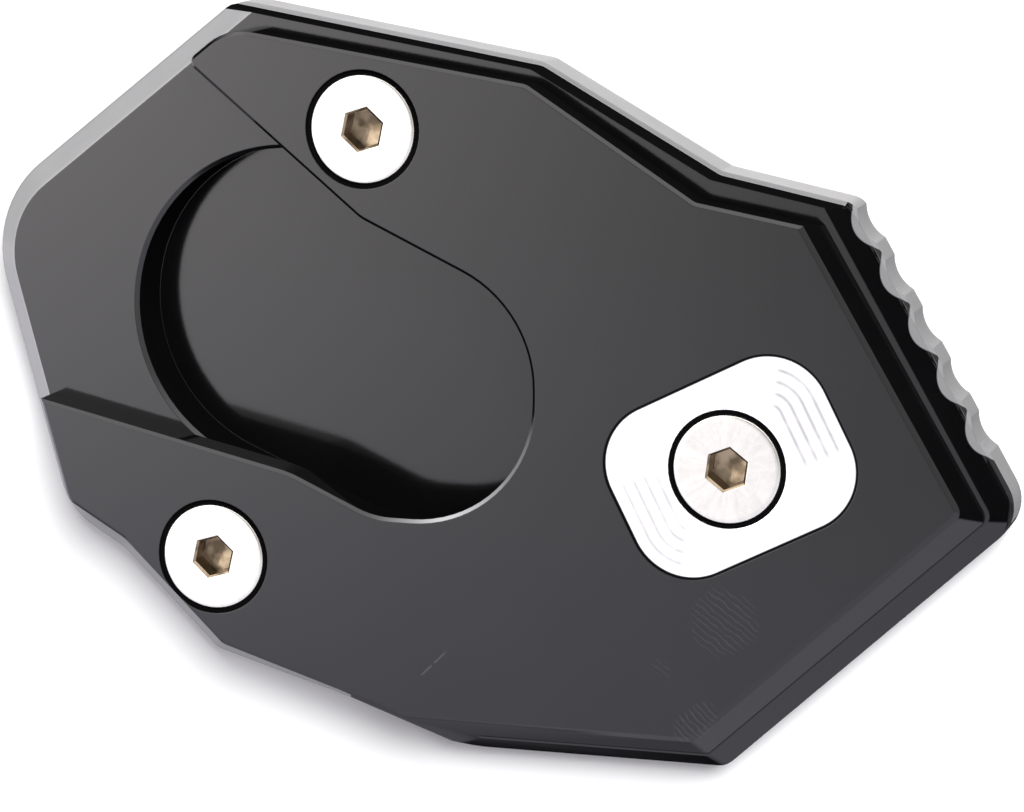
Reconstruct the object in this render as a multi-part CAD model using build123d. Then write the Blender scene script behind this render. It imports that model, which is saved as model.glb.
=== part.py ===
"""Foot enlarger for a motorbike's side stand: an anodised base plate with a pocket for the stand's
foot, a C-shaped clamp plate over it, and three countersunk screws. Millimetres, +Z up, the underside
of the base on Z = 0, the middle of its outline on the Z axis. The mouth of the C opens towards -X."""
from build123d import *
from math import acos, atan2, degrees, radians, sin, tan
import os

# Heights of the two plates
BASE_THICK = 9.5
RIM_HEIGHT = 5.0          # bare machined part of the base's wall, from the ground up
CLAMP_THICK = 4.0
POCKET_DEPTH = 6.5

# Corners of the base from above, anticlockwise, each with the radius that rounds it
SHOULDER = (40.9, 22.1)
DIP = (26.1, 25.1)
CREST = (5.8, 36.5)
NOSE = (-29.9, 42.5)
LEFT_TIP = (-60.8, 18.0)
WAIST = (-51.3, -17.2)
HEEL = (-44.5, -21.2)
CHIN = (-33.0, -32.4)
RIM_END = (-16.7, -37.1)
KEEL = (-1.9, -42.2)
TOE = (27.3, -42.1)
RIGHT_TIP = (60.2, -11.4)
BASE_CORNERS = [SHOULDER, DIP, CREST, NOSE, LEFT_TIP, WAIST, HEEL, CHIN, RIM_END, KEEL, TOE, RIGHT_TIP]
BASE_RADII = [2.5, 2.0, 2.0, 0, 13.0, 9.0, 6.0, 3.0, 0, 8.0, 3.0, 4.5]

# Edge treatment of the base
RIM_STEP = 0.5            # the bare rim stands out this far beyond the black wall above it
RIGHT_BEVEL = 1.6         # width of the steep bevel above the rim, on three edges
TOE_BEVEL = 2.3
KEEL_BEVEL = 2.3
LEFT_BEVEL = 2.75         # bare 45 degree bevel round the left end
NOSE_RADIUS = 3.3
CREASE_RADIUS = 1.5       # where two steep bevels meet, on both plates
SCALLOPS = 5
SCALLOP_PITCH = 6.47
SCALLOP_RADIUS = 4.3
SCALLOP_DEPTH = 0.6
SCALLOP_START = 2.7       # from the shoulder corner to the first scallop's middle

# Clamp plate: how far its foot stays inside each edge of the base, at the start and end of the edge
LEDGES = {
    SHOULDER: (2.2, 2.6),
    DIP: (2.6, 1.25),
    CREST: (1.65, 2.2),
    NOSE: (2.9, 2.9),
    LEFT_TIP: (3.3, 3.3),
    WAIST: (3.6, 3.6),
    HEEL: (3.75, 3.75),
    CHIN: (3.05, 2.7),
    RIM_END: (2.7, 2.7),
    KEEL: (2.5, 2.5),
    TOE: (2.5, 2.5),
    RIGHT_TIP: (2.55, 2.9),
}
CLAMP_RADII = [0, 1.5, 2.0, 6.5, 8.0, 2.0, 4.0, 2.0, 0, 4.0, 1.0, 1.0]
CLAMP_RIGHT_BEVEL = 1.4   # width of the clamp's steep bevels
CLAMP_FRONT_BEVEL = 2.5   # on the lower right and bottom edges
EDGE_BREAK = 0.4

# Opening for the stand's leg, corners from above with their radii, open to the left
MOUTH_REACH = -70.0
MOUTH_TOP_SLOPE = -0.825
MOUTH_BOTTOM_SLOPE = -0.226
OPENING_CORNERS = [(-12.9, 19.4), (6.95, 10.1), (6.95, -14.25), (-11.6, -14.2), (-21.6, -9.7)]
OPENING_RADII = [5.0, 14.0, 14.0, 10.0, 12.0]
MOUTH_TIP_RADIUS = 1.0    # upper tip of the C

# Pocket for the stand's foot plate: two rounds and the straight sides between them
POCKET_LEFT = (-22.6, 7.95)
POCKET_LEFT_RADIUS = 18.45
POCKET_RIGHT = (-5.6, -0.2)
POCKET_RIGHT_RADIUS = 17.5
POCKET_CHAMFER = 0.45

# Countersunk hexagon socket screws, M6 x 12
SCREW_PLACES = {"top": (-12.5, 29.3), "left": (-30.8, -20.0), "right": (29.0, -6.35)}
SCREW_TURNS = {"top": 18.0, "left": 17.0, "right": 22.5}
SCREW_DIAMETER = 6.0
SCREW_LENGTH = 12.0
SCREW_TIP = 0.8
HEAD_DIAMETER = 12.0
HEAD_LAND = 0.6           # straight part of the head above its cone
HEAD_EDGE = 0.25
KEY_SIZE = 4.0
KEY_DEPTH = 2.6
KEY_CHAMFER = 0.25
SEAT_DIAMETER = 13.2      # bore that clears the head, black inside
HOLE_DIAMETER = 6.6       # clearance hole in the clamp

# Bare milled field round the right-hand screw
FIELD_PLACE = (29.3, -6.15)
FIELD_LENGTH = 27.0
FIELD_WIDTH = 20.3
FIELD_RADIUS = 7.0
FIELD_TURN = 27.0
FIELD_DEPTH = 0.15

BASE_TOP = BASE_THICK
CLAMP_TOP = BASE_THICK + CLAMP_THICK
WASTE = 20.0              # cutters reach this far past what they cut


def inset_line(edge, insets):
    """Start and end of one edge of the base, by its first corner, each moved inward by its own inset."""
    start = Vector(*BASE_CORNERS[edge])
    end = Vector(*BASE_CORNERS[(edge + 1) % len(BASE_CORNERS)])
    along = (end - start).normalized()
    inward = Vector(-along.Y, along.X)
    return start + inward * insets[0], end + inward * insets[1]


def inset_corners(insets):
    """Corners of the outline whose edges lie inside the base's by (start, end) distances."""
    lines = [inset_line(edge, pair) for edge, pair in enumerate(insets)]
    corners = []
    for edge, (start, end) in enumerate(lines):
        before, bend = lines[edge - 1]
        step = end - start
        back = bend - before
        share = (start - before).cross(step).Z / back.cross(step).Z
        corners.append(before + back * share)
    return corners


def rounded(corners, radii):
    """Face inside a closed outline, each corner rounded by its own radius."""
    outline = FilletPolyline(*corners, radius=radii, close=True)
    return make_face(outline)


def waste_wedge(corner, insets, width, foot, top):
    """Waste outside a steep plane that leans in by width between two heights along one base edge."""
    start, end = inset_line(BASE_CORNERS.index(corner), insets)
    along = (end - start).normalized()
    across = Plane(origin=(start + end) * 0.5, x_dir=Vector(-along.Y, along.X), z_dir=along)
    lean = width / (top - foot)
    section = Polyline(
        (0, foot),
        (lean * (top + WASTE - foot), top + WASTE),
        (-WASTE, top + WASTE),
        (-WASTE, foot),
        close=True,
    )
    return extrude(across * make_face(section), amount=(end - start).length / 2 + WASTE, both=True)


def round_creases(plate, height):
    """The plate with the sloping edges between its bevels rounded at the right tip and the toe."""
    sloping = [
        edge
        for edge in plate.edges().filter_by(GeomType.LINE)
        if 0.2 < abs(edge.tangent_at(0.5).Z) < 0.98
    ]
    creases = [
        ShapeList(sloping).sort_by_distance(Vertex(*corner, height))[0]
        for corner in (RIGHT_TIP, TOE)
    ]
    return fillet(creases, CREASE_RADIUS)


def opening_outline():
    """Plan of the mouth and the round opening, which the stand's leg passes."""
    first = OPENING_CORNERS[0]
    last = OPENING_CORNERS[-1]
    upper = (MOUTH_REACH, first[1] + MOUTH_TOP_SLOPE * (MOUTH_REACH - first[0]))
    lower = (MOUTH_REACH, last[1] + MOUTH_BOTTOM_SLOPE * (MOUTH_REACH - last[0]))
    return rounded([upper, *OPENING_CORNERS, lower], [0, *OPENING_RADII, 0])


def pocket_outline():
    """Plan of the pocket: the hull of its two rounds."""
    gap = Vector(*POCKET_RIGHT) - Vector(*POCKET_LEFT)
    heading = degrees(atan2(gap.Y, gap.X))
    swing = degrees(acos((POCKET_LEFT_RADIUS - POCKET_RIGHT_RADIUS) / gap.length))
    left = Vector(*POCKET_LEFT)
    right = Vector(*POCKET_RIGHT)
    upper = Vector(1, 0).rotate(Axis.Z, heading + swing)
    lower = Vector(1, 0).rotate(Axis.Z, heading - swing)
    back = Vector(-1, 0).rotate(Axis.Z, heading)
    front = Vector(1, 0).rotate(Axis.Z, heading)
    left_ends = [left + upper * POCKET_LEFT_RADIUS, left + lower * POCKET_LEFT_RADIUS]
    right_ends = [right + upper * POCKET_RIGHT_RADIUS, right + lower * POCKET_RIGHT_RADIUS]
    outline = [
        ThreePointArc(left_ends[0], left + back * POCKET_LEFT_RADIUS, left_ends[1]),
        Line(left_ends[1], right_ends[1]),
        ThreePointArc(right_ends[1], right + front * POCKET_RIGHT_RADIUS, right_ends[0]),
        Line(right_ends[0], left_ends[0]),
    ]
    return make_face(outline)


def base_plate():
    """Base: bare rim with scallops, black upper part, bare bevel on the left, pocket, tapped holes."""
    steps = {corner: 0 for corner in BASE_CORNERS}
    steps |= {corner: RIM_STEP for corner in (SHOULDER, DIP, CREST, RIGHT_TIP)}
    upper_insets = [(steps[corner], steps[corner]) for corner in BASE_CORNERS]
    rim = extrude(rounded(BASE_CORNERS, BASE_RADII), RIM_HEIGHT)
    upper = rounded(inset_corners(upper_insets), BASE_RADII)
    plate = rim + Pos(0, 0, RIM_HEIGHT) * extrude(upper, BASE_TOP - RIM_HEIGHT)
    for corner, width in ((RIGHT_TIP, RIGHT_BEVEL), (TOE, TOE_BEVEL), (KEEL, KEEL_BEVEL)):
        foot = (steps[corner], steps[corner])
        plate -= waste_wedge(corner, foot, width, RIM_HEIGHT, BASE_TOP)
    plate = round_creases(plate, BASE_TOP)

    nose = Vector(*NOSE)
    rim_end = Vector(*RIM_END)
    left_edges = [
        edge
        for edge in plate.edges().filter_by_position(Axis.Z, BASE_TOP, BASE_TOP)
        if (rim_end - nose).cross(edge.center() - nose).Z < 0
    ]
    plate = chamfer(left_edges, LEFT_BEVEL)
    plate -= nose_waste()
    plate -= scallop_cutters()

    plate -= Pos(0, 0, BASE_TOP - POCKET_DEPTH) * extrude(pocket_outline(), POCKET_DEPTH)
    top_face = plate.faces().sort_by(Axis.Z)[-1]
    plate = chamfer(top_face.inner_wires()[0].edges(), POCKET_CHAMFER)
    for x, y in SCREW_PLACES.values():
        plate -= Pos(x, y, 0) * extrude(Circle(SCREW_DIAMETER / 2), BASE_TOP)
    return plate


def nose_waste():
    """Waste between the sharp nose corner and the arc that rounds it, for the plate's full height."""
    place = BASE_CORNERS.index(NOSE)
    corner = Vector(*NOSE)
    before = (Vector(*BASE_CORNERS[place - 1]) - corner).normalized()
    after = (Vector(*BASE_CORNERS[place + 1]) - corner).normalized()
    half = radians(before.get_angle(after) / 2)
    reach = NOSE_RADIUS / tan(half)
    inward = (before + after).normalized()
    tip = corner + inward * (NOSE_RADIUS / sin(half) - NOSE_RADIUS)
    outline = [
        Line(corner, corner + before * reach),
        ThreePointArc(corner + before * reach, tip, corner + after * reach),
        Line(corner + after * reach, corner),
    ]
    return extrude(make_face(outline), BASE_TOP)


def scallop_cutters():
    """Upright cylinders that cut the shallow grips into the right edge."""
    start, end = inset_line(BASE_CORNERS.index(RIGHT_TIP), (0, 0))
    along = (end - start).normalized()
    inward = Vector(-along.Y, along.X)
    cutter = extrude(Circle(SCALLOP_RADIUS), BASE_TOP)
    cutters = []
    for number in range(SCALLOPS):
        reach = SCALLOP_START + number * SCALLOP_PITCH
        middle = end - along * reach - inward * (SCALLOP_RADIUS - SCALLOP_DEPTH)
        cutters.append(Pos(middle.X, middle.Y, 0) * cutter)
    return cutters


def clamp_plate():
    """C-shaped plate on the base: upright walls, steep bevels on three edges, seats for the screws."""
    outline = rounded(inset_corners([LEDGES[corner] for corner in BASE_CORNERS]), CLAMP_RADII)
    plate = Pos(0, 0, BASE_TOP) * extrude(outline - opening_outline(), CLAMP_THICK)
    uprights = plate.edges().filter_by(Axis.Z)
    above_mouth = [edge for edge in uprights if edge.center().Y > OPENING_CORNERS[0][1]]
    plate = fillet(min(above_mouth, key=lambda edge: edge.center().X), MOUTH_TIP_RADIUS)
    bevels = {RIGHT_TIP: CLAMP_RIGHT_BEVEL, TOE: CLAMP_FRONT_BEVEL, KEEL: CLAMP_FRONT_BEVEL}
    for corner, width in bevels.items():
        plate -= waste_wedge(corner, LEDGES[corner], width, BASE_TOP, CLAMP_TOP)
    plate = round_creases(plate, CLAMP_TOP)
    top_face = plate.faces().sort_by(Axis.Z)[-1]
    plate = chamfer(top_face.outer_wire().edges(), EDGE_BREAK)

    x, y = FIELD_PLACE
    field = Rot(0, 0, FIELD_TURN) * RectangleRounded(FIELD_LENGTH, FIELD_WIDTH, FIELD_RADIUS)
    plate -= Pos(x, y, CLAMP_TOP - FIELD_DEPTH) * extrude(field, FIELD_DEPTH)
    for x, y in SCREW_PLACES.values():
        plate -= Pos(x, y, CLAMP_TOP) * screw_seat()
    return plate


def screw_seat():
    """Waste of one seat, its top on Z = 0: head bore, 90 degree cone, clearance hole."""
    head = HEAD_DIAMETER / 2
    hole = HOLE_DIAMETER / 2
    cone_foot = -HEAD_LAND - (head - hole)
    section = Polyline(
        (0, 0),
        (SEAT_DIAMETER / 2, 0),
        (SEAT_DIAMETER / 2, -HEAD_LAND),
        (head, -HEAD_LAND),
        (hole, cone_foot),
        (hole, -CLAMP_THICK),
        (0, -CLAMP_THICK),
        close=True,
    )
    return revolve(Plane.XZ * make_face(section), Axis.Z)


def screw():
    """Countersunk screw hanging from its head's top at Z = 0, with a hexagon socket."""
    head = HEAD_DIAMETER / 2
    shank = SCREW_DIAMETER / 2
    section = Polyline(
        (0, 0),
        (head - HEAD_EDGE, 0),
        (head, -HEAD_EDGE),
        (head, -HEAD_LAND),
        (shank, -HEAD_LAND - (head - shank)),
        (shank, -SCREW_LENGTH + SCREW_TIP),
        (shank - SCREW_TIP, -SCREW_LENGTH),
        (0, -SCREW_LENGTH),
        close=True,
    )
    body = revolve(Plane.XZ * make_face(section), Axis.Z)
    socket = extrude(RegularPolygon(KEY_SIZE / 2, 6, major_radius=False), -KEY_DEPTH)
    body -= socket
    mouth = body.faces().sort_by(Axis.Z)[-1].inner_wires()[0]
    return chamfer(mouth.edges(), KEY_CHAMFER)


os.makedirs("parts", exist_ok=True)
export_step(base_plate(), "parts/base_plate.step")
export_step(clamp_plate(), "parts/clamp_plate.step")
for name, (x, y) in SCREW_PLACES.items():
    placed = Pos(x, y, CLAMP_TOP) * Rot(0, 0, SCREW_TURNS[name]) * screw()
    export_step(placed, f"parts/screw_{name}.step")
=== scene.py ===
"""A motorbike side stand's foot enlarger, dressed over its CAD frame, on a pale studio floor.

The object lies flat: a base plate on the floor, a C-shaped clamp plate on it, and three countersunk
screws through the clamp into the base. All sizes below are millimetres unless they say otherwise."""
import math

import bmesh
import bpy
import numpy as np
from mathutils import Matrix, Vector


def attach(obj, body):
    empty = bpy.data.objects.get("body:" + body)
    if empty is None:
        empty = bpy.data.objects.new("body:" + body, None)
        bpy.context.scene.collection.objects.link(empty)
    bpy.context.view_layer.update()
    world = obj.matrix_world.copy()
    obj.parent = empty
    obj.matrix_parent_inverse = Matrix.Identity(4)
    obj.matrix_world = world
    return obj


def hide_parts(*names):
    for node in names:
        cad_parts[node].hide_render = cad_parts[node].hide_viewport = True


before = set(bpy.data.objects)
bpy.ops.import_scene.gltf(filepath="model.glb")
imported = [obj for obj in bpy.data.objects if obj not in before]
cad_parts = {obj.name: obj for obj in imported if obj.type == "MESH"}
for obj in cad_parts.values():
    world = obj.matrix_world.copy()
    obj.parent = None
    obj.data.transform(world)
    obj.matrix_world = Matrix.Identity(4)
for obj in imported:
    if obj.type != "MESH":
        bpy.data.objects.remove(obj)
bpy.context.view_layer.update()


# Base plate: sawn and milled from aluminium plate and black anodised. Its lower wall, with the small
# step above it, and the whole left end are cut once more afterwards, so they are bare bright metal.
MM = 0.001
RIM_HEIGHT = 5.0
LEFT_BEVEL_FOOT = 6.75    # heights between which the bare bevel round the left end lies
LEFT_BEVEL_TOP = 9.5
NOSE = (-29.9, 42.5)      # the bare left end lies left of the line between these two corners
RIM_END = (-16.7, -37.1)
RIGHT_END = 40.0          # beyond this X the step above the rim is black between the scallops
POCKET_ENDS = ((-22.6, 7.95), (-5.6, -0.2))
POCKET_REACH = 19.5       # everything this near the pocket's middle line belongs to the pocket
HOLE_REACH = 4.0
SCALLOP_LINE = (44.106, 23.947)    # where the line of the scallops' middles starts
SCALLOP_HEADING = (0.4992, -0.8665)
SCALLOP_FIRST = 2.7
SCALLOP_PITCH = 6.47
SCALLOP_RUN = (-0.8, 31.7)
SCALLOP_REACH = 4.8       # the scallops' radius and half a millimetre of bare metal
SCREW_PLACES = {"screw_top": (-12.5, 29.3), "screw_left": (-30.8, -20.0), "screw_right": (29.0, -6.35)}
BLACK = (0.0018, 0.0018, 0.002)
BLACK_WORN = (0.005, 0.0049, 0.0052)
BLACK_CUT = (0.017, 0.0166, 0.0175)
EDGE_ROUNDING = 0.12      # radius to which deburring has rounded every edge
UPRIGHT = 0.15            # a face whose normal rises less than this counts as a wall
BARE = (0.345, 0.345, 0.345)
BARE_DULL = (0.275, 0.28, 0.285)
# The next colour is the bare metal round the scallops, and also a painted highlight along the clamp
# opening's edge.
BARE_EDGE_AND_GLINT = (0.27, 0.273, 0.276)
BARE_METALLIC = 0.3


class Value:
    """A socket that takes part in plain arithmetic, each step of it one Math node."""

    def __init__(self, finish, socket):
        self.finish = finish
        self.socket = socket

    def math(self, operation, *others):
        return self.finish.add("ShaderNodeMath", {"operation": operation}, self, *others)

    def __add__(self, other):
        return self.math("ADD", other)

    def __sub__(self, other):
        return self.math("SUBTRACT", other)

    def __rsub__(self, other):
        return self.finish.add("ShaderNodeMath", {"operation": "SUBTRACT"}, other, self)

    def __mul__(self, other):
        return self.math("MULTIPLY", other)

    def __truediv__(self, other):
        return self.math("DIVIDE", other)

    def __neg__(self):
        return self.math("MULTIPLY", -1.0)

    def __abs__(self):
        return self.math("ABSOLUTE")

    def least(self, other):
        return self.math("MINIMUM", other)

    def most(self, other):
        return self.math("MAXIMUM", other)

    def soft(self, low, high):
        """0 below low, 1 above high and a smooth rise between them."""
        settings = {"interpolation_type": "SMOOTHSTEP"}
        return self.finish.add("ShaderNodeMapRange", settings, self, low, high, 0.0, 1.0)

    __radd__ = __add__


class Finish:
    """The node tree of one surface finish, or of the studio's light."""

    def __init__(self, owner):
        owner.use_nodes = True
        self.owner = owner
        self.tree = owner.node_tree

    def fill(self, socket, value):
        if isinstance(value, Value):
            self.tree.links.new(value.socket, socket)
        elif isinstance(value, tuple) and len(value) == 3 and socket.type == "RGBA":
            socket.default_value = (*value, 1.0)
        elif value is not None:
            socket.default_value = value

    def add(self, kind, settings, *inputs, output=0, **named):
        """A node: first its settings, then values or links for its sockets, in order or by name."""
        node = self.tree.nodes.new(kind)
        for key, value in settings.items():
            setattr(node, key, value)
        for socket, value in zip(node.inputs, inputs):
            self.fill(socket, value)
        for key, value in named.items():
            self.fill(node.inputs[key], value)
        return Value(self, node.outputs[output])

    def parts(self, vector):
        """X, Y and Z of a vector."""
        node = self.tree.nodes.new("ShaderNodeSeparateXYZ")
        self.fill(node.inputs[0], vector)
        return [Value(self, output) for output in node.outputs]

    def place(self):
        """Where a point of the surface is, in millimetres."""
        point = self.add("ShaderNodeTexCoord", {}, output=3)
        return self.add("ShaderNodeVectorMath", {"operation": "SCALE"}, point, Scale=1.0 / MM)

    def noise(self, point, scale, detail=3.0):
        """Smooth noise from 0 to 1, with scale in waves for each unit of the point."""
        return self.add("ShaderNodeTexNoise", {}, Vector=point, Scale=scale, Detail=detail)

    def stretched(self, point, scale):
        """The point with each axis multiplied by its own number."""
        return self.add("ShaderNodeVectorMath", {"operation": "MULTIPLY"}, point, scale)

    def mix(self, share, one, two):
        """A colour between one and two."""
        node = self.tree.nodes.new("ShaderNodeMix")
        node.data_type = "RGBA"
        for slot, value in ((0, share), (6, one), (7, two)):
            self.fill(node.inputs[slot], value)
        return Value(self, node.outputs[2])

    def bump(self, height, depth, strength):
        """Normals of a surface whose height of 0 to 1 stands for a depth in millimetres, over edges
        that deburring has rounded."""
        rounded = self.add("ShaderNodeBevel", {"samples": 6}, Radius=EDGE_ROUNDING * MM)
        return self.add(
            "ShaderNodeBump", {}, Strength=strength, Distance=depth * MM, Height=height, Normal=rounded
        )

    def set(self, **inputs):
        """Values or links for the surface shader's own sockets, _ standing for a space."""
        shader = self.tree.nodes["Principled BSDF"]
        for key, value in inputs.items():
            self.fill(shader.inputs[key.replace("_", " ")], value)
        return self.owner


def anodised(name, marks):
    """Satin black anodising: a fine blasted grain, faint clouds and a few paler rubbed specks. marks is
    a function of the finish and X, Y and Z. It gives the cutter's marks and the bare metal, 0 to 1; on
    the clamp that bare metal share is a painted highlight along the opening's edge."""
    finish = Finish(bpy.data.materials.new(name))
    point = finish.place()
    cuts, bare_and_glint = marks(finish, *finish.parts(point))
    grain = finish.noise(point, 2.6, 4.0)
    cloud = finish.noise(point, 0.09, 3.0)
    specks = finish.noise(point, 1.7, 2.0).soft(0.68, 0.76)
    wear_and_glint = specks * 0.5 + cloud.soft(0.4, 0.7) * 0.15 + cuts * 0.4
    black = finish.mix(cuts * 0.8, finish.mix(wear_and_glint, BLACK, BLACK_WORN), BLACK_CUT)
    return finish.set(
        Base_Color=finish.mix(bare_and_glint, black, BARE_EDGE_AND_GLINT),
        Metallic=bare_and_glint * BARE_METALLIC,
        Roughness=cloud * 0.05 + specks * 0.06 + 0.09,
        IOR=1.5,
        Normal=finish.bump(grain + cuts * 4.5, 0.0035, 0.5),
    )


def scallop_rim(finish, x, y, z):
    """No cutter's marks, and bare metal in a band of even width round the scallops. Each scallop is a
    circle, and the circles repeat along the right edge: s runs along it from its upper corner and d
    out from the line of the circles' middles."""
    out_x, out_y = x - SCALLOP_LINE[0], y - SCALLOP_LINE[1]
    s = out_x * SCALLOP_HEADING[0] + out_y * SCALLOP_HEADING[1]
    d = out_y * SCALLOP_HEADING[0] - out_x * SCALLOP_HEADING[1]
    turns = (s - SCALLOP_FIRST) / SCALLOP_PITCH + 0.5
    nearest = abs(turns.math("FRACT") - 0.5) * SCALLOP_PITCH
    reach = (nearest * nearest + d * d).math("SQRT")
    start, end = SCALLOP_RUN
    ends = s.soft(start - 0.1, start + 0.1) * (1.0 - s.soft(end - 0.1, end + 0.1))
    return 0.0, (1.0 - reach.soft(SCALLOP_REACH - 0.05, SCALLOP_REACH + 0.05)) * ends


def anodised_wall():
    """The same anodising where an end mill cut the walls: matt, with lines along the cut. On the clamp's
    screw seats it stands as painted shade.
    """
    finish = Finish(bpy.data.materials.new("anodised_wall"))
    point = finish.place()
    lines = finish.noise(finish.stretched(point, (0.12, 0.12, 5.0)), 1.0, 3.0)
    grain = finish.noise(point, 2.6, 4.0)
    return finish.set(
        Base_Color=finish.mix(lines, BLACK, BLACK_WORN),
        Roughness=lines * 0.2 + 0.35,
        Specular_IOR_Level=0.0,
        Normal=finish.bump(lines + grain * 0.3, 0.004, 0.5),
    )


def bare_rim():
    """Freshly cut aluminium: the cutter's fine lines run along the wall, on a dull satin ground. The
    left bevel has a painted highlight along its top edge and painted shade along its foot."""
    finish = Finish(bpy.data.materials.new("bare_rim"))
    point = finish.place()
    z = finish.parts(point)[2]
    lines = finish.noise(finish.stretched(point, (0.25, 0.25, 9.0)), 1.0, 3.0)
    cloud = finish.noise(point, 0.35, 3.0)
    # Painted highlight along the left bevel's top edge, and painted shade along its foot.
    painted_highlight = z.soft(LEFT_BEVEL_TOP - 0.45, LEFT_BEVEL_TOP - 0.2) * 0.7
    above_foot = z.soft(LEFT_BEVEL_FOOT - 0.15, LEFT_BEVEL_FOOT - 0.03)
    painted_shade = (1.0 - z.soft(LEFT_BEVEL_FOOT + 0.1, LEFT_BEVEL_FOOT + 0.35)) * above_foot * 0.9
    return finish.set(
        Base_Color=finish.mix(lines * 0.6 + cloud * 0.4 + painted_highlight - painted_shade, BARE_DULL, BARE),
        Metallic=BARE_METALLIC,
        Roughness=cloud * 0.12 + 0.4,
        Normal=finish.bump(lines, 0.006, 0.5),
    )


def near(points, start, end):
    """Distance of each point from the straight run between two places, in the plan: the point less its
    nearest place on the run, which is the start plus the run times a share held between 0 and 1."""
    run = np.subtract(end, start)
    share = np.clip((points - start) @ run / max(run @ run, 1e-9), 0.0, 1.0)
    return np.linalg.norm(points - start - share[:, None] * run, axis=1)


def machined_copy(node, name, cut_height=None):
    """A copy of a CAD node as one joined skin, split where the later cut ends. Edges over 25 degrees
    stay sharp, and elsewhere large faces rule the normals, so that flats stay flat beside rounds."""
    mesh = bpy.data.objects[node].data.copy()
    mesh.name = name
    skin = bmesh.new()
    skin.from_mesh(mesh)
    bmesh.ops.remove_doubles(skin, verts=skin.verts, dist=0.002 * MM)
    if cut_height is not None:
        bmesh.ops.bisect_plane(
            skin,
            geom=[*skin.verts, *skin.edges, *skin.faces],
            dist=0.002 * MM,
            plane_co=(0, 0, cut_height * MM),
            plane_no=(0, 0, 1),
        )
    skin.to_mesh(mesh)
    skin.free()
    if "custom_normal" in mesh.attributes:
        mesh.attributes.remove(mesh.attributes["custom_normal"])
    mesh.polygons.foreach_set("use_smooth", np.ones(len(mesh.polygons), bool))
    mesh.set_sharp_from_angle(angle=math.radians(25.0))
    piece = bpy.data.objects.new(name, mesh)
    bpy.context.collection.objects.link(piece)
    even = piece.modifiers.new("even_normals", "WEIGHTED_NORMAL")
    even.keep_sharp = True
    return piece


def face_table(mesh):
    """Middles in millimetres and normals of all faces."""
    middles = np.empty(len(mesh.polygons) * 3, np.float32)
    normals = np.empty(len(mesh.polygons) * 3, np.float32)
    mesh.polygons.foreach_get("center", middles)
    mesh.polygons.foreach_get("normal", normals)
    return middles.reshape(-1, 3) / MM, normals.reshape(-1, 3)


base = machined_copy("base_plate", "base_plate_machined", RIM_HEIGHT)
base.data.materials.clear()
wall_finish = anodised_wall()
for finish in (anodised("base_anodised", scallop_rim), bare_rim(), wall_finish):
    base.data.materials.append(finish)
middles, normals = face_table(base.data)
plan = middles[:, :2]
inner = near(plan, *POCKET_ENDS) < POCKET_REACH
for place in SCREW_PLACES.values():
    inner |= near(plan, place, place) < HOLE_REACH
facing_down = normals[:, 1] < -0.42
lower_right = facing_down & (middles[:, 0] > RIM_END[0])
across = np.subtract(RIM_END, NOSE)
left_end = across[0] * (plan[:, 1] - NOSE[1]) - across[1] * (plan[:, 0] - NOSE[0]) < 0
outer = ~inner & (normals[:, 2] > -0.5) & ~lower_right
right_step = (normals[:, 2] > 0.7) & (middles[:, 0] > RIGHT_END)
rim = outer & (middles[:, 2] < RIM_HEIGHT + 0.05) & ~right_step
left_cut = outer & left_end & (middles[:, 2] < LEFT_BEVEL_TOP - 0.1)
upright = np.abs(normals[:, 2]) < UPRIGHT
scalloped = (middles[:, 0] > RIGHT_END) & (middles[:, 1] > -12.0)
finishes = np.where(rim | left_cut, 1, np.where(upright & ~scalloped, 2, 0))
base.data.polygons.foreach_set("material_index", finishes.astype(np.int32))
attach(base, "root")
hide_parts("base_plate")


# Clamp plate: a black anodised C of aluminium that holds the stand's foot in the pocket below it. A
# rounded field about its right-hand screw is milled bright, with the end mill's turns left in it.
FIELD_PLACE = (29.3, -6.15)
FIELD_HALF = (13.5, 10.15)
FIELD_RADIUS = 7.0
FIELD_TURN = math.radians(27.0)
FIELD_FLOOR = 13.35
FIRST_TURN = 1.67         # how far in from the field's edge the end mill's turns start
TURN_PITCH = 1.3
SWIRL_PITCH = 0.22
BRIGHT = (0.93, 0.93, 0.93)
TURN_GREY = (0.39, 0.39, 0.385)
OPENING_MIDDLE = (-7.05, -0.2)
OPENING_RADIUS = 14.0
SCRATCH_MIDDLE = (-4.45, -30.6)
SCRATCH_TURN = 0.707      # cosine and sine of its heading of 45 degrees
SEAT_REACH = 7.0
HATCHES = (               # middle, heading, half sizes, pitch and depth of each patch of strokes
    ((25.8, -34.9), -46.0, (1.9, 3.4), 0.62, 1.0),
    ((28.9, -23.4), -36.0, (4.2, 4.2), 0.66, 0.8),
    ((22.0, -29.1), -36.0, (1.4, 1.0), 0.6, 0.6),
)


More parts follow.
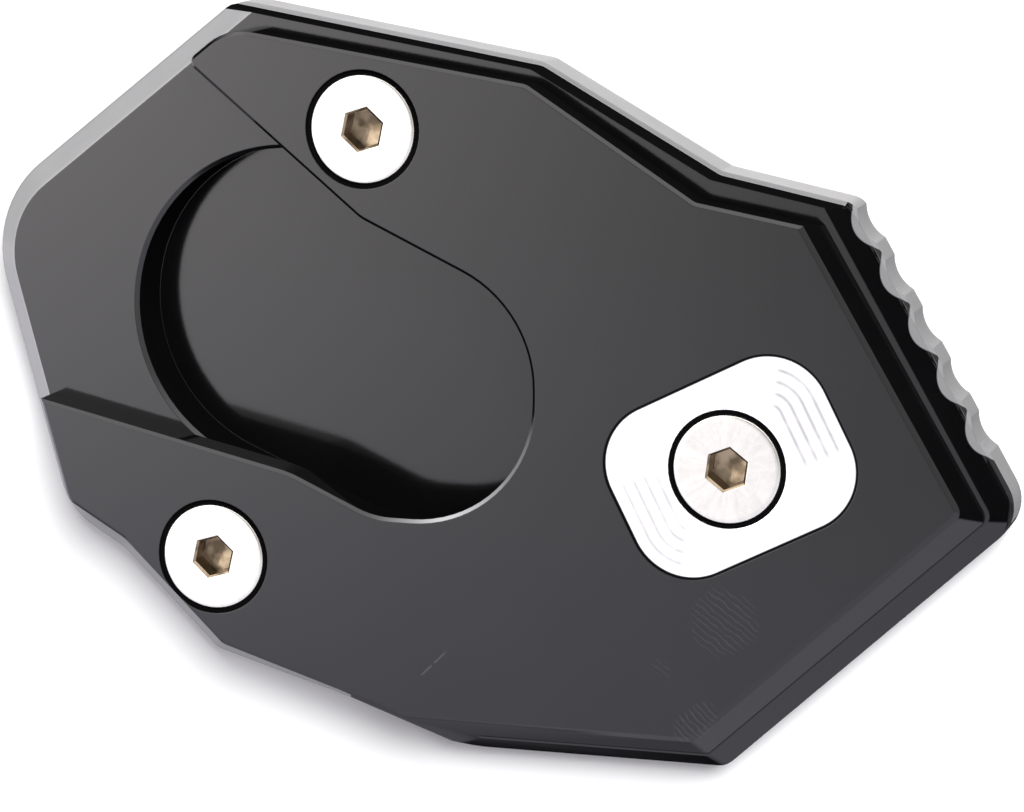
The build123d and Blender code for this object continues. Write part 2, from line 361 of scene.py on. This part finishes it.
def face_marks(finish, x, y, z):
    """Cutter's marks, and a painted highlight along the opening's edge, coloured as bare metal. Face
    mill
    strokes lie in patches: a patch is an ellipse with a ragged border, and its strokes are a sine
    across it, bent by noise."""
    spread = finish.noise(finish.add("ShaderNodeCombineXYZ", {}, x, y, 0.0), 0.7, 3.0)
    total = 0.0
    for middle, heading, reach, pitch, depth in HATCHES:
        cosine, sine = math.cos(math.radians(heading)), math.sin(math.radians(heading))
        along = (x - middle[0]) * cosine + (y - middle[1]) * sine
        across = (y - middle[1]) * cosine - (x - middle[0]) * sine
        inside = 1.0 - (
            along * along * (1.0 / reach[0] ** 2) + across * across * (1.0 / reach[1] ** 2)
        ).math("SQRT")
        strokes = ((across + spread * 0.8) * (2.0 * math.pi / pitch)).math("SINE")
        ragged = (inside + spread * 0.7 - 0.35).soft(0.0, 0.3)
        total = strokes.soft(0.1, 0.9) * ragged * depth + total
    off_x, off_y = x - SCRATCH_MIDDLE[0], y - SCRATCH_MIDDLE[1]
    slant = (off_x - off_y) * SCRATCH_TURN
    run = (off_x + off_y) * SCRATCH_TURN
    scratch = (1.0 - abs(slant).soft(0.06, 0.16)) * (1.0 - abs(run).soft(1.6, 2.4))
    gap = abs(run + 0.1).soft(0.1, 0.3)
    cuts = (scratch * gap * 0.9 + total).least(1.0)

    # Painted highlight: a crescent along the opening's edge, at the clamp's top, takes the pale bare
    # metal colour where light would glint on it.
    off_x, off_y = x - OPENING_MIDDLE[0], y - OPENING_MIDDLE[1]
    out = off_x * 0.5 - off_y * 0.87
    side = (off_x * 0.87 + off_y * 0.5) / OPENING_RADIUS
    wear_and_glint = (1.0 - abs(side - 0.15).soft(0.35, 1.05)) * (out - 8.0).soft(0.0, 3.0)
    on_edge = 1.0 - abs(z - 13.3).soft(0.17, 0.2)
    return cuts, wear_and_glint * (1.0 - (out - 15.4).soft(0.0, 0.3)) * on_edge


def milled_field():
    """Bright milled aluminium. inset is the distance in from a rounded rectangle: with q the point's
    distances past the rectangle less its radius, radius - |q above 0| - (the larger q, below 0)."""
    finish = Finish(bpy.data.materials.new("milled_field"))
    point = finish.place()
    x, y, _ = finish.parts(point)
    cosine, sine = math.cos(FIELD_TURN), math.sin(FIELD_TURN)
    u = (x - FIELD_PLACE[0]) * cosine + (y - FIELD_PLACE[1]) * sine
    v = (y - FIELD_PLACE[1]) * cosine - (x - FIELD_PLACE[0]) * sine
    past_u = abs(u) - (FIELD_HALF[0] - FIELD_RADIUS)
    past_v = abs(v) - (FIELD_HALF[1] - FIELD_RADIUS)
    round_u = past_u.most(0.0)
    round_v = past_v.most(0.0)
    corner = (round_u * round_u + round_v * round_v).math("SQRT")
    inset = FIELD_RADIUS - corner - past_u.most(past_v).least(0.0)
    turn = (inset - FIRST_TURN) / TURN_PITCH
    nearest = abs((turn + 0.5).math("FRACT") - 0.5) * TURN_PITCH
    four_turns = (turn + 0.4).soft(0.0, 0.1) * (3.4 - turn).soft(0.0, 0.1)
    groove = (1.0 - nearest.soft(0.0, 0.42)) * four_turns

    def zone(u, v, strength):
        """The part of the field where the grooves run deep: past one slanting line and above another."""
        start = (u - (v - 4.3) * 0.65 - 7.2).soft(-0.5, 0.9)
        return start * (v + 4.1).soft(-0.2, 1.6) * strength

    deep = zone(u, v, 0.95) + zone(-u, -v, 0.8)
    patchy = finish.noise(point, 0.5, 2.0).soft(0.2, 0.6) * 0.35 + 0.65
    shown = groove * deep * patchy
    border = 1.0 - inset.soft(0.24, 0.4)
    swirl = (inset * (2.0 * math.pi / SWIRL_PITCH)).math("SINE")
    return finish.set(
        Base_Color=finish.mix(border, finish.mix(shown, BRIGHT, TURN_GREY), BLACK_WORN),
        Metallic=1.0,
        Roughness=shown * 0.2 + 0.24,
        Normal=finish.bump(swirl * 0.06 - groove * 0.5, 0.004, 0.5),
    )


clamp = machined_copy("clamp_plate", "clamp_plate_machined")
clamp.data.materials.clear()
for finish in (anodised("clamp_anodised", face_marks), milled_field(), wall_finish):
    clamp.data.materials.append(finish)
middles, normals = face_table(clamp.data)
cosine, sine = math.cos(FIELD_TURN), math.sin(FIELD_TURN)
field_place = np.abs((middles[:, :2] - FIELD_PLACE) @ np.array([[cosine, -sine], [sine, cosine]]))
in_field = (field_place < np.add(FIELD_HALF, 0.2)).all(axis=1)
milled = in_field & (np.abs(middles[:, 2] - FIELD_FLOOR) < 0.02)
mouth_wall = (middles[:, 0] < -18.0) & (normals[:, 1] > 0.5)
matt_walls_and_shaded_seats = (np.abs(normals[:, 2]) < UPRIGHT) & ~mouth_wall
# Painted shade: the seats below the face round each screw head take the matt wall finish, which mirrors
# nothing, so that they show black.
for place in SCREW_PLACES.values():
    seat = near(middles[:, :2], place, place) < SEAT_REACH
    matt_walls_and_shaded_seats |= seat & (middles[:, 2] < FIELD_FLOOR - 0.05)
finishes = np.where(milled, 1, np.where(matt_walls_and_shaded_seats, 2, 0))
clamp.data.polygons.foreach_set("material_index", finishes.astype(np.int32))
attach(clamp, "root")
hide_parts("clamp_plate")


# Screws: three M6 countersunk screws of zinc plated steel with 4 mm hexagon sockets. They pass through
# the clamp's seats and are screwed into the base, and hold the two plates together.
HEAD_TOP = 13.5
HEAD_RADIUS = 6.0
HEAD_EDGE = 0.25
HEAD_LAND = 0.6
SHANK_RADIUS = 3.0
ROOT_RADIUS = 2.45
THREAD_PITCH = 1.0
SCREW_LENGTH = 12.0
SCREW_TIP = 0.8
KEY_HALF = 2.0
KEY_CHAMFER = 0.25
KEY_DEPTH = 2.6
KEY_POINT = 0.45          # the drill's cone below the socket's floor
THREAD_START = 4.0        # depth at which the thread fades in
SCREW_TURNS = {"screw_top": 18.0, "screw_left": 17.0, "screw_right": 22.5}
PLATED = (0.625, 0.615, 0.57)
PLATED_PALE = (0.695, 0.69, 0.65)
SOCKET_DARK = (0.10, 0.075, 0.048)
SOCKET_BRONZE = (0.31, 0.245, 0.165)
COLUMNS = 144


def plated_steel():
    """Zinc plated steel, turned: V of its map runs along the profile and U round the axis. Faint rays
    come from noise on the angle's cosine and sine, so that they close round the head."""
    finish = Finish(bpy.data.materials.new("plated_steel"))
    point = finish.place()
    round_share, along, _ = finish.parts(finish.add("ShaderNodeUVMap", {"uv_map": "turned"}))
    angle = round_share * (2.0 * math.pi)
    ray = finish.add(
        "ShaderNodeCombineXYZ",
        {},
        angle.math("COSINE") * 3.2,
        angle.math("SINE") * 3.2,
        along * 6.0,
    )
    rays = finish.noise(ray, 1.6, 4.0)
    ring = finish.add("ShaderNodeCombineXYZ", {}, along * 90.0, angle * 0.2, 0.0)
    rings = finish.noise(ring, 1.0, 2.0)
    spots = finish.noise(point, 1.4, 3.0)
    tone = (rays - 0.5) * 1.5 + (spots - 0.5) * 0.8 + 0.5
    return finish.set(
        Base_Color=finish.mix(tone.soft(0.0, 1.0), PLATED, PLATED_PALE),
        Metallic=1.0,
        Roughness=rays * 0.14 + 0.2,
        Normal=finish.bump(rings * 0.4 + rays * 0.6, 0.012, 0.35),
    )


def stained_socket():
    """The socket's walls and floor, brown with the oil and tint that plating leaves in a recess."""
    finish = Finish(bpy.data.materials.new("stained_socket"))
    point = finish.place()
    stain = finish.noise(point, 0.45, 2.0)
    return finish.set(
        Base_Color=finish.mix(stain.soft(0.35, 0.6), SOCKET_DARK, SOCKET_BRONZE),
        Metallic=1.0,
        Roughness=stain * 0.15 + 0.2,
        Normal=finish.bump(finish.noise(point, 2.5, 2.0), 0.02, 0.4),
    )


def screw_rows():
    """Radius, height below the head's top and hexagon share of each ring of the skin, from the middle of
    the socket's floor, up its walls, over the head and down to the tip."""
    rows = [(0.0, -KEY_DEPTH - KEY_POINT, 0.0), (1.2, -KEY_DEPTH - 0.1, 0.3)]
    rows += [(KEY_HALF, -KEY_DEPTH, 1.0)]
    rows += [(KEY_HALF, -KEY_CHAMFER, 1.0), (KEY_HALF + KEY_CHAMFER, 0.0, 1.0)]
    socket_rings = len(rows)
    rows += [(2.7, 0.0, 0.45), (3.3, 0.0, 0.0), (4.4, 0.0, 0.0), (5.4, 0.0, 0.0)]
    bend = np.linspace(0.0, math.pi / 2, 6)
    flat = HEAD_RADIUS - HEAD_EDGE
    rows += [(flat + HEAD_EDGE * math.sin(a), HEAD_EDGE * (math.cos(a) - 1.0), 0.0) for a in bend]
    rows += [(HEAD_RADIUS, -HEAD_LAND, 0.0)]
    thread_top = -HEAD_LAND - (HEAD_RADIUS - SHANK_RADIUS)
    rows += [(SHANK_RADIUS, thread_top, 0.0)]
    heights = np.arange(thread_top - 0.1, -SCREW_LENGTH + 0.02, -0.0625)
    rows += [(SHANK_RADIUS, height, 0.0) for height in heights]
    rows += [(0.0, -SCREW_LENGTH, 0.0)]
    return np.array(rows), socket_rings


def thread_cut(angle, height, top, bottom):
    """Depth of a right-handed thread: a triangle wave of height less a full pitch for each turn, with
    flats at root and crest, faded in below top and out above bottom."""
    wave = np.abs(np.mod(height / THREAD_PITCH - angle / (2.0 * math.pi), 1.0) * 2.0 - 1.0)
    shape = np.clip((wave - 0.12) / 0.76, 0.0, 1.0)
    fade_in = np.clip((top - height) / 0.8, 0.0, 1.0)
    fade_out = np.clip((height - bottom) / 0.3 + 0.4, 0.0, 1.0)
    return (SHANK_RADIUS - ROOT_RADIUS) * shape * fade_in * fade_out


def turned_skin(name, points, materials, ring_materials, place):
    """A closed skin from rings of points: rings by columns by 3, its first and last ring one point each.
    Faces join each ring to the next, and triangles close the poles."""
    rings, columns = points.shape[:2]
    steps = np.linalg.norm(np.diff(points[:, 0], axis=0), axis=1)
    runs = np.concatenate(([0.0], np.cumsum(steps)))
    body = points[1:-1].reshape(-1, 3) + (*place, 0.0)
    poles = points[[0, -1], 0] + (*place, 0.0)
    places = np.concatenate((body, poles)) * MM
    column = np.arange(columns)
    after = (column + 1) % columns
    ring = np.arange(rings - 3)[:, None] * columns
    below = ring + columns
    quads = np.stack((ring + column, below + column, below + after, ring + after), -1)
    first, last = len(body), len(body) + 1
    end = (rings - 3) * columns
    opening = np.stack((np.full(columns, first), column, after), -1)
    closing = np.stack((np.full(columns, last), end + after, end + column), -1)
    mesh = bpy.data.meshes.new(name)
    faces = [*opening.tolist(), *quads.reshape(-1, 4).tolist(), *closing.tolist()]
    mesh.from_pydata(places, [], faces)

    share = column / columns
    step = 1.0 / columns
    low = np.broadcast_to(share, (rings - 3, columns))
    u = np.stack((low, low, low + step, low + step), -1)
    start, finish = runs[1:-2, None], runs[2:-1, None]
    v = np.stack(np.broadcast_arrays(start, finish, finish, start), -1)
    v = np.broadcast_to(v, (rings - 3, columns, 4))
    opening_u = np.stack((share + step / 2, share, share + step), -1)
    opening_v = np.broadcast_to((0.0, runs[1], runs[1]), (columns, 3))
    closing_u = np.stack((share + step / 2, share + step, share), -1)
    closing_v = np.broadcast_to((runs[-1], runs[-2], runs[-2]), (columns, 3))
    flat_u = np.concatenate((opening_u.ravel(), u.ravel(), closing_u.ravel()))
    flat_v = np.concatenate((opening_v.ravel(), v.ravel(), closing_v.ravel())) / runs[-1]
    turned = mesh.uv_layers.new(name="turned")
    turned.data.foreach_set("uv", np.stack((flat_u, flat_v), -1).ravel())

    for material in materials:
        mesh.materials.append(material)
    of_ring = np.repeat(ring_materials, columns).astype(np.int32)
    mesh.polygons.foreach_set("material_index", of_ring)
    mesh.polygons.foreach_set("use_smooth", np.ones(len(mesh.polygons), bool))
    mesh.update()
    mesh.set_sharp_from_angle(angle=math.radians(28.0))
    piece = bpy.data.objects.new(name, mesh)
    bpy.context.collection.objects.link(piece)
    return piece


steel = plated_steel()
socket = stained_socket()
rows, socket_rings = screw_rows()
angles = np.arange(COLUMNS) * (2.0 * math.pi / COLUMNS)
radii, heights, hexagon = (column[:, None] for column in rows.T)
off_flat = np.mod(angles, math.pi / 3) - math.pi / 6
outline = radii * (1.0 - hexagon + hexagon / np.cos(off_flat))
in_thread = (heights < -HEAD_LAND - (HEAD_RADIUS - SHANK_RADIUS) - 0.01) & (radii > 0)
cut = thread_cut(angles, heights, -THREAD_START, -SCREW_LENGTH)
tip = np.clip(-SCREW_LENGTH + SCREW_TIP - heights, 0.0, SCREW_TIP)
outline = np.where(in_thread, np.minimum(outline - cut, SHANK_RADIUS - tip), outline)
ring_materials = np.where(np.arange(len(rows) - 1) < socket_rings - 1, 1, 0)
for name, place in SCREW_PLACES.items():
    turn = angles + math.radians(SCREW_TURNS[name])
    drop = np.broadcast_to(heights + HEAD_TOP, outline.shape)
    points = np.stack((outline * np.cos(turn), outline * np.sin(turn), drop), -1)
    screw = turned_skin(f"{name}_turned", points, (steel, socket), ring_materials, place)
    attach(screw, "root")
    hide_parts(name)


# Studio: a pale paper floor, one broad lamp overhead, and a room whose bright walls the metal mirrors.
# The lamp lights matt surfaces alone and the room gives the gloss, so each can match the photograph.
FLOOR_SIZE = 3.0
FLOOR_TONES = ((0.86, 0.86, 0.86), (0.89, 0.89, 0.89))
LAMP_PLACE = (0.62, 0.7, 1.25)
BACKDROP = 0.9            # brightness of the room behind the floor, and of its light on matt surfaces
FILL = 0.4

bpy.ops.mesh.primitive_plane_add(size=FLOOR_SIZE, location=(0, 0, 0))
floor = bpy.context.object
floor.name = "floor"
paper = Finish(bpy.data.materials.new("floor_paper"))
fibres = paper.noise(paper.place(), 0.05, 4.0)
floor.data.materials.append(paper.set(Base_Color=paper.mix(fibres, *FLOOR_TONES), Roughness=0.95))
floor.visible_glossy = False

room = Finish(bpy.data.worlds.new("studio"))
bpy.context.scene.world = room.owner
way = room.add("ShaderNodeTexCoord", {}, output=0)
x, y, z = room.parts(way)
# Overhead: brightest to the upper left. The part's flat faces mirror this patch of it.
from_x = x.most(-0.42).least(-0.16) + 0.3
from_y = y.most(-0.29).least(-0.09) + 0.18
overhead = from_x * -7.48 + from_y * 5.52 + 1.87
overhead = overhead + from_x * from_x * 4.48 - from_x * from_y * 67.24
# Round the horizon: a grey band, brighter behind, with a pale window at the upper left.
window = (x * -0.80 + y * 0.60).soft(0.78, 0.95)
band = (1.3 + y.soft(0.3, 0.9) * 1.4 + window * 1.2) * z.soft(-0.15, 0.12)
# Below it: what steep bevels and walls mirror of the table in front, at the left and behind.
from_front = (x.soft(-0.3, 0.3) * 0.5 + 0.5) * (-y).soft(0.55, 0.72)
front = from_front * ((z + 0.8) * 2.0).most(0.0).least(1.1)
left = (-x).soft(0.6, 0.85) * (0.3 - y).soft(-0.1, 0.35) * z.soft(-0.65, -0.5) * 1.3
behind = (-z).soft(0.8, 0.92) * y.soft(-0.1, 0.12) * (0.22 - x).soft(0.0, 0.3) * 2.2
above = z.soft(0.42, 0.7)
gloss = overhead * above + (1.0 - above) * band.most(front).most(left).most(behind)
light_path = room.tree.nodes.new("ShaderNodeLightPath")
seen = Value(room, light_path.outputs["Is Camera Ray"])
matt = Value(room, light_path.outputs["Is Diffuse Ray"])
strength = gloss * (1.0 - seen) * (1.0 - matt) + seen * BACKDROP + matt * FILL
background = room.tree.nodes["Background"]
room.fill(background.inputs["Strength"], strength)
tint = room.mix(y.soft(-0.27, -0.12), (0.985, 0.965, 1.08), (1.02, 0.985, 1.0))
room.fill(background.inputs["Color"], room.mix(seen, tint, (1.0, 1.0, 1.0)))
bpy.context.scene.view_settings.view_transform = "Standard"

lamp = bpy.data.lights.new("softbox", "AREA")
lamp.shape = "RECTANGLE"
lamp.size = 0.7
lamp.size_y = 0.6
lamp.energy = 36.0
softbox = bpy.data.objects.new("softbox", lamp)
softbox.location = LAMP_PLACE
softbox.rotation_euler = Vector(LAMP_PLACE).to_track_quat("Z", "Y").to_euler()
softbox.visible_glossy = False
bpy.context.collection.objects.link(softbox)

# The camera stands where the photographer's did: its place, and what is right and up in the picture.
EYE = Vector((0.12302, 0.07564, 0.4021))
RIGHT = Vector((0.95664, 0.0, -0.29127))
UP = Vector((-0.05376, 0.98282, -0.17658))
SENSOR = 36.0
FOCAL_PIXELS = 3760.0
PICTURE_WIDTH = 1024.0
camera = bpy.data.objects.new("camera", bpy.data.cameras.new("camera"))
bpy.context.collection.objects.link(camera)
turn = Matrix((RIGHT, UP, RIGHT.cross(UP))).transposed().to_4x4()
camera.matrix_world = Matrix.Translation(EYE) @ turn
camera.data.sensor_width = SENSOR
camera.data.lens = SENSOR * FOCAL_PIXELS / PICTURE_WIDTH
camera.data.clip_start = 0.01
bpy.context.scene.camera = camera
